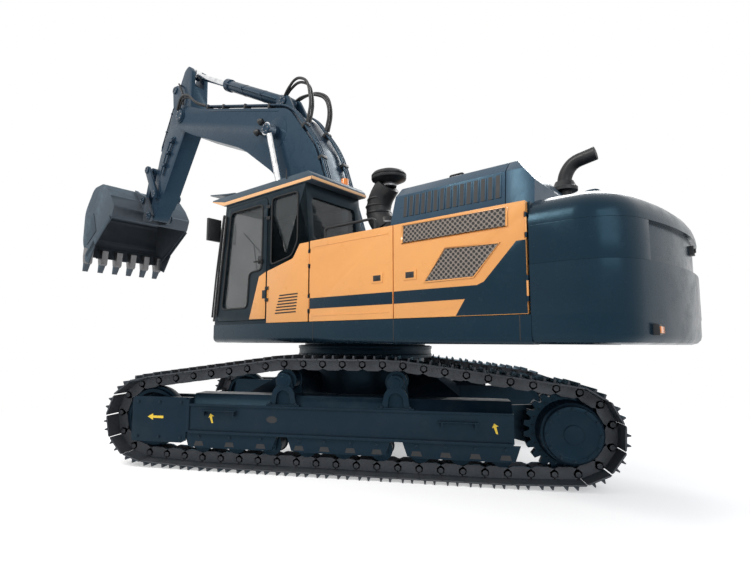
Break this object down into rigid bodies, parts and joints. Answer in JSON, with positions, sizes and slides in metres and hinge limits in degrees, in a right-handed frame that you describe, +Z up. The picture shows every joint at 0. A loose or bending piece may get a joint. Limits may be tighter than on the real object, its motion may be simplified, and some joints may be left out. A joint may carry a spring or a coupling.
{
  "type": "crawler excavator",
  "caption": "Crawler excavator: slewing house with hollow cab, cranked boom, arm and toothed bucket moved by cylinders, on two steel tracks with double-grouser shoes.",
  "frame": {"origin": "on the ground under the swing axis, midway between the tracks", "axes": "+Z up along the swing axis, -Y is the undercarriage's forward direction (idler end), +X its left side; the house is swung to the right by 30.5 degrees at rest"},
  "size_m": [7.7202, 10.8922, 7.1405],
  "materials": {
    "frame_paint": "satin",
    "track_steel": "worn",
    "skirt_paint": "satin",
    "panel_paint": "satin",
    "blue_paint": "satin",
    "rod_chrome": "polished",
    "cab_paint": "satin",
    "roof_paint": "satin",
    "clear_glass": "clear",
    "dark_trim": "matt",
    "engine_iron": "matt",
    "amber_lens": "gloss",
    "bucket_paint": "worn"
  },
  "bodies": {
    "undercarriage": {"centre_frame": "frame_paint", "swing_bearing": "frame_paint", "track_frame_left": "frame_paint", "track_frame_right": "frame_paint", "track_left": "track_steel", "track_right": "track_steel", "idler_left": "frame_paint", "idler_right": "frame_paint", "sprocket_left": "frame_paint", "sprocket_right": "frame_paint", "rollers_left": "frame_paint", "rollers_right": "frame_paint", "frame_legs": "frame_paint"},
    "house": {"revolving_frame": "skirt_paint", "machinery_frame": "skirt_paint", "counterweight": "blue_paint", "engine_block": "engine_iron", "rear_cowl": "blue_paint", "exhaust_stack": "dark_trim", "precleaner": "dark_trim", "fuel_tank": "panel_paint", "hydraulic_tank": "panel_paint", "storage_box": "panel_paint", "cab_shell": "cab_paint", "cab_lower_panel": "panel_paint", "cab_roof": "roof_paint", "cab_glass": "clear_glass", "cab_door_hinges": "cab_paint", "cab_interior": "dark_trim", "mirrors": "dark_trim", "handrails": "dark_trim", "beacon": "amber_lens", "boom_brackets": "skirt_paint"},
    "cab_door": {"cab_door": "cab_paint", "cab_door_glass": "clear_glass"},
    "engine_hood": {"engine_hood": "blue_paint"},
    "left_front_door": {"left_front_door": "panel_paint"},
    "left_rear_door": {"left_rear_door": "panel_paint"},
    "right_rear_door": {"right_rear_door": "panel_paint"},
    "boom": {"boom": "blue_paint"},
    "arm": {"arm": "blue_paint"},
    "bucket": {"bucket": "bucket_paint"},
    "rockers": {"rockers": "blue_paint"},
    "push_link": {"push_link": "blue_paint"},
    "arm_cylinder_barrel": {"arm_cylinder_barrel": "blue_paint"},
    "arm_cylinder_rod": {"arm_cylinder_rod": "rod_chrome"},
    "bucket_cylinder_barrel": {"bucket_cylinder_barrel": "blue_paint"},
    "bucket_cylinder_rod": {"bucket_cylinder_rod": "rod_chrome"},
    "boom_cylinder_barrel_left": {"boom_cylinder_barrel_left": "blue_paint"},
    "boom_cylinder_barrel_right": {"boom_cylinder_barrel_right": "blue_paint"},
    "boom_cylinder_rod_left": {"boom_cylinder_rod_left": "rod_chrome"},
    "boom_cylinder_rod_right": {"boom_cylinder_rod_right": "rod_chrome"}
  },
  "joints": [
    {"name": "swing", "type": "hinge", "parent": "undercarriage", "child": "house", "pos_m": [0, 0, 0], "axis": [0, 0, 1], "continuous": true},
    {"name": "boom_lift", "type": "hinge", "parent": "house", "child": "boom", "pos_m": [-0.05784, -0.05878, 2.03], "axis": [-0.8616, 0.5075, 0], "range_deg": [-65, 20]},
    {"name": "arm_in", "type": "hinge", "parent": "boom", "child": "arm", "pos_m": [-2.39454, -4.02572, 6.028], "axis": [0.8616, -0.5075, 0], "range_deg": [-50, 50]},
    {"name": "bucket_dump", "type": "hinge", "parent": "arm", "child": "bucket", "pos_m": [-3.04977, -5.13808, 4.155], "axis": [-0.8616, 0.5075, 0], "range_deg": [-145, 14]},
    {"name": "boom_cylinder_tilt_left", "type": "hinge", "parent": "house", "child": "boom_cylinder_barrel_left", "pos_m": [0.01269, -0.82569, 1.6], "axis": [-0.8616, 0.5075, 0], "range_deg": [-67.27, 21.39]},
    {"name": "boom_cylinder_stroke_left", "type": "slide", "parent": "boom_cylinder_barrel_left", "child": "boom_cylinder_rod_left", "axis": [-0.1436, -0.2438, 0.9591], "range_m": [-0.7769, 0.246]},
    {"name": "boom_cylinder_tilt_right", "type": "hinge", "parent": "house", "child": "boom_cylinder_barrel_right", "pos_m": [-0.76278, -0.36891, 1.6], "axis": [-0.8616, 0.5075, 0], "range_deg": [-67.27, 21.39]},
    {"name": "boom_cylinder_stroke_right", "type": "slide", "parent": "boom_cylinder_barrel_right", "child": "boom_cylinder_rod_right", "axis": [-0.1436, -0.2438, 0.9591], "range_m": [-0.7769, 0.246]},
    {"name": "arm_cylinder_tilt", "type": "hinge", "parent": "boom", "child": "arm_cylinder_barrel", "pos_m": [-0.85467, -1.41154, 5.38], "axis": [-0.8616, 0.5075, 0], "range_deg": [-6, 6]},
    {"name": "arm_cylinder_stroke", "type": "slide", "parent": "arm_cylinder_barrel", "child": "arm_cylinder_rod", "axis": [-0.4444, -0.7544, 0.4832], "range_m": [-0.6207, 0.6207]},
    {"name": "bucket_cylinder_tilt", "type": "hinge", "parent": "arm", "child": "bucket_cylinder_barrel", "pos_m": [-2.64121, -4.44447, 6.8], "axis": [-0.8616, 0.5075, 0], "range_deg": [-4.44, 1.33]},
    {"name": "bucket_cylinder_stroke", "type": "slide", "parent": "bucket_cylinder_barrel", "child": "bucket_cylinder_rod", "axis": [-0.2501, -0.4246, -0.8701], "range_m": [-0.119, 1.1389]},
    {"name": "rocker_swing", "type": "hinge", "parent": "arm", "child": "rockers", "pos_m": [-2.91528, -4.90975, 4.58], "axis": [-0.8616, 0.5075, 0], "range_deg": [-96.99, 10.27]},
    {"name": "link_swing", "type": "hinge", "parent": "bucket", "child": "push_link", "pos_m": [-3.20711, -5.40519, 4.56], "axis": [-0.8616, 0.5075, 0], "range_deg": [-10.35, 97.86]},
    {"name": "cab_door_hinge", "type": "hinge", "parent": "house", "child": "cab_door", "pos_m": [1.1278, -1.03687, 2.45], "axis": [0, 0, 1], "range_deg": [0, 165]},
    {"name": "left_front_door_hinge", "type": "hinge", "parent": "house", "child": "left_front_door", "pos_m": [1.49572, -0.40636, 2.05], "axis": [0, 0, 1], "range_deg": [-105, 0]},
    {"name": "left_rear_door_hinge", "type": "hinge", "parent": "house", "child": "left_rear_door", "pos_m": [2.72041, 1.67275, 2.05], "axis": [0, 0, -1], "range_deg": [-105, 0]},
    {"name": "right_rear_door_hinge", "type": "hinge", "parent": "house", "child": "right_rear_door", "pos_m": [0.14414, 3.19029, 2.05], "axis": [0, 0, 1], "range_deg": [-105, 0]},
    {"name": "hood_hinge", "type": "hinge", "parent": "house", "child": "engine_hood", "pos_m": [-0.14635, 2.40159, 2.511], "axis": [0.5075, 0.8616, 0], "range_deg": [-70, 0]}
  ],
  "couplings": [
    {"joint": "boom_cylinder_tilt_left", "follows": "boom_lift", "ratio": 1.0195},
    {"joint": "boom_cylinder_stroke_left", "follows": "boom_lift", "m_per_rad": 0.67598},
    {"joint": "boom_cylinder_tilt_right", "follows": "boom_lift", "ratio": 1.0195},
    {"joint": "boom_cylinder_stroke_right", "follows": "boom_lift", "m_per_rad": 0.67598},
    {"joint": "arm_cylinder_tilt", "follows": "arm_in", "ratio": -0.1},
    {"joint": "arm_cylinder_stroke", "follows": "arm_in", "m_per_rad": 0.6998},
    {"joint": "bucket_cylinder_tilt", "follows": "bucket_dump", "ratio": 0.02375},
    {"joint": "bucket_cylinder_stroke", "follows": "bucket_dump", "m_per_rad": -0.44609},
    {"joint": "rocker_swing", "follows": "bucket_dump", "ratio": 0.662},
    {"joint": "link_swing", "follows": "bucket_dump", "ratio": -0.668}
  ]
}
